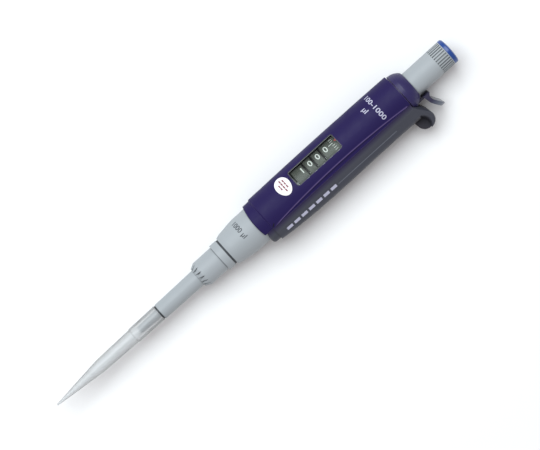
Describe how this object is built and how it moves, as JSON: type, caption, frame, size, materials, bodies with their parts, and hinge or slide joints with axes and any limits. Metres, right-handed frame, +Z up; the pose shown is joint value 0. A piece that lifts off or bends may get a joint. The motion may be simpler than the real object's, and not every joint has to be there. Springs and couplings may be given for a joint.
{
  "type": "adjustable micropipette",
  "caption": "Single-channel air-displacement pipette with a press plunger, turn-to-set volume counter, finger hook, tip ejector and fitted tip.",
  "frame": {"origin": "centre of the bounding box's base, on the bench under the pipette, which lies on its side", "axes": "+X along the pipette from the tip's orifice to the button, +Z up from the bench, finger hook towards -Y"},
  "size_m": [0.272, 0.0358, 0.0251],
  "materials": {
    "purple_plastic": "satin moulded plastic, deep violet blue",
    "grey_plastic": "satin moulded plastic, slate grey",
    "light_grey_plastic": "satin moulded plastic, light cool grey",
    "dark_plastic": "moulded plastic, near black",
    "black_plastic": "moulded plastic, black",
    "lever_plastic": "satin moulded plastic, dark violet",
    "blue_plastic": "gloss moulded plastic, clear blue",
    "drum_plastic": "fine matt plastic, olive grey",
    "clear_lens": "clear polished plastic",
    "tip_plastic": "translucent natural polypropylene",
    "white_label": "printed vinyl sticker, white",
    "print_ink": "screen-printed ink",
    "seal_plastic": "low-friction seal plastic, ivory",
    "black_rubber": "nitrile rubber",
    "steel": "turned stainless steel",
    "polished_steel": "ground and polished stainless steel",
    "spring_steel": "drawn spring wire",
    "brass": "turned brass"
  },
  "bodies": {
    "handle": {"handle_shell": "purple_plastic", "rear_cover": "grey_plastic", "window_lens": "clear_lens", "inspection_label": "white_label", "top_cap": "purple_plastic", "lower_chassis": "dark_plastic", "counter_frame": "dark_plastic", "counter_tube": "steel", "pinion_plate_1": "dark_plastic", "pinion_plate_2": "dark_plastic", "pinion_plate_3": "dark_plastic", "upper_chassis": "dark_plastic", "guide_bush": "black_plastic", "cylinder": "light_grey_plastic", "piston_seal": "seal_plastic", "o_ring": "black_rubber", "seal_retainer": "seal_plastic", "seal_spring": "spring_steel", "coupling_nut": "dark_plastic", "tip_nozzle": "light_grey_plastic", "main_spring": "spring_steel", "blowout_spring": "spring_steel", "blowout_washer": "steel", "ejector_spring": "spring_steel"},
    "plunger": {"spring_collar": "steel", "piston_rod": "steel", "piston": "polished_steel"},
    "knob": {"plunger_tube": "light_grey_plastic", "button_cap": "blue_plastic", "drive_shaft": "steel"},
    "screw": {"volume_screw": "brass"},
    "nut": {"volume_nut": "dark_plastic"},
    "drum_thousands": {"thousands_drum": "drum_plastic"},
    "drum_hundreds": {"hundreds_drum": "drum_plastic"},
    "drum_tens": {"tens_drum": "drum_plastic"},
    "drum_units": {"units_drum": "drum_plastic"},
    "gear_1": {"pinion_1": "black_plastic"},
    "gear_2": {"pinion_2": "black_plastic"},
    "gear_3": {"pinion_3": "black_plastic"},
    "ejector": {"ejector_sleeve": "light_grey_plastic", "ejector_collar": "light_grey_plastic", "ejector_rod": "steel", "ejector_lever": "lever_plastic"},
    "ring": {"adjust_ring": "light_grey_plastic"},
    "sleeve_tube": {"ejector_tube": "light_grey_plastic"},
    "tip": {"pipette_tip": "tip_plastic"}
  },
  "joints": [
    {"name": "plunger_press", "type": "slide", "parent": "handle", "child": "plunger", "axis": [-1, 0, 0], "range_m": [0, 0.017], "stiffness_N_per_m": 250, "springref_m": -0.008, "deforming": ["main_spring"]},
    {"name": "volume_set", "type": "hinge", "parent": "plunger", "child": "knob", "pos_m": [0.119, 0.00543, 0.0125], "axis": [1, 0, 0], "range_deg": [-6480, 0]},
    {"name": "screw_turn", "type": "hinge", "parent": "handle", "child": "screw", "pos_m": [0.074, 0.00543, 0.0125], "axis": [1, 0, 0], "range_deg": [-6480.01, 0]},
    {"name": "nut_travel", "type": "slide", "parent": "handle", "child": "nut", "axis": [1, 0, 0], "range_m": [-0.0135, 0]},
    {"name": "units_turn", "type": "hinge", "parent": "handle", "child": "drum_units", "pos_m": [0.056, 0.00543, 0.0125], "axis": [1, 0, 0], "range_deg": [-32400.01, 0]},
    {"name": "tens_turn", "type": "hinge", "parent": "handle", "child": "drum_tens", "pos_m": [0.047, 0.00543, 0.0125], "axis": [1, 0, 0], "range_deg": [-3240.01, 0]},
    {"name": "hundreds_turn", "type": "hinge", "parent": "handle", "child": "drum_hundreds", "pos_m": [0.042, 0.00543, 0.0125], "axis": [1, 0, 0], "range_deg": [-324.01, 0]},
    {"name": "thousands_turn", "type": "hinge", "parent": "handle", "child": "drum_thousands", "pos_m": [0.035, 0.00543, 0.0125], "axis": [1, 0, 0], "range_deg": [-32.41, 0]},
    {"name": "pinion_3_turn", "type": "hinge", "parent": "handle", "child": "gear_3", "pos_m": [0.05, 0.01064, 0.0172], "axis": [1, 0, 0], "range_deg": [0, 10800.01]},
    {"name": "pinion_2_turn", "type": "hinge", "parent": "handle", "child": "gear_2", "pos_m": [0.044, 0.01064, 0.0172], "axis": [1, 0, 0], "range_deg": [0, 1080.01]},
    {"name": "pinion_1_turn", "type": "hinge", "parent": "handle", "child": "gear_1", "pos_m": [0.039, 0.01064, 0.0172], "axis": [1, 0, 0], "range_deg": [0, 108.01]},
    {"name": "ejector_press", "type": "slide", "parent": "handle", "child": "ejector", "axis": [-1, 0, 0], "range_m": [0, 0.004], "stiffness_N_per_m": 600, "springref_m": -0.004, "deforming": ["ejector_spring"]},
    {"name": "tube_travel", "type": "slide", "parent": "ejector", "child": "sleeve_tube", "axis": [1, 0, 0], "range_m": [0, 0.0035]},
    {"name": "ring_turn", "type": "hinge", "parent": "ejector", "child": "ring", "pos_m": [-0.03, 0.00543, 0.0125], "axis": [1, 0, 0], "range_deg": [0, 360.01]},
    {"name": "tip_off", "type": "slide", "parent": "ejector", "child": "tip", "axis": [-1, 0, 0], "range_m": [0, 0.03]}
  ],
  "couplings": [
    {"joint": "screw_turn", "follows": "volume_set", "ratio": 1},
    {"joint": "nut_travel", "follows": "volume_set", "m_per_rad": 0.00011937},
    {"joint": "units_turn", "follows": "volume_set", "ratio": 5},
    {"joint": "tens_turn", "follows": "volume_set", "ratio": 0.5},
    {"joint": "hundreds_turn", "follows": "volume_set", "ratio": 0.05},
    {"joint": "thousands_turn", "follows": "volume_set", "ratio": 0.005},
    {"joint": "pinion_3_turn", "follows": "volume_set", "ratio": -1.6667},
    {"joint": "pinion_2_turn", "follows": "volume_set", "ratio": -0.16667},
    {"joint": "pinion_1_turn", "follows": "volume_set", "ratio": -0.016667},
    {"joint": "ring_turn", "follows": "tube_travel", "rad_per_m": 1795.2}
  ]
}
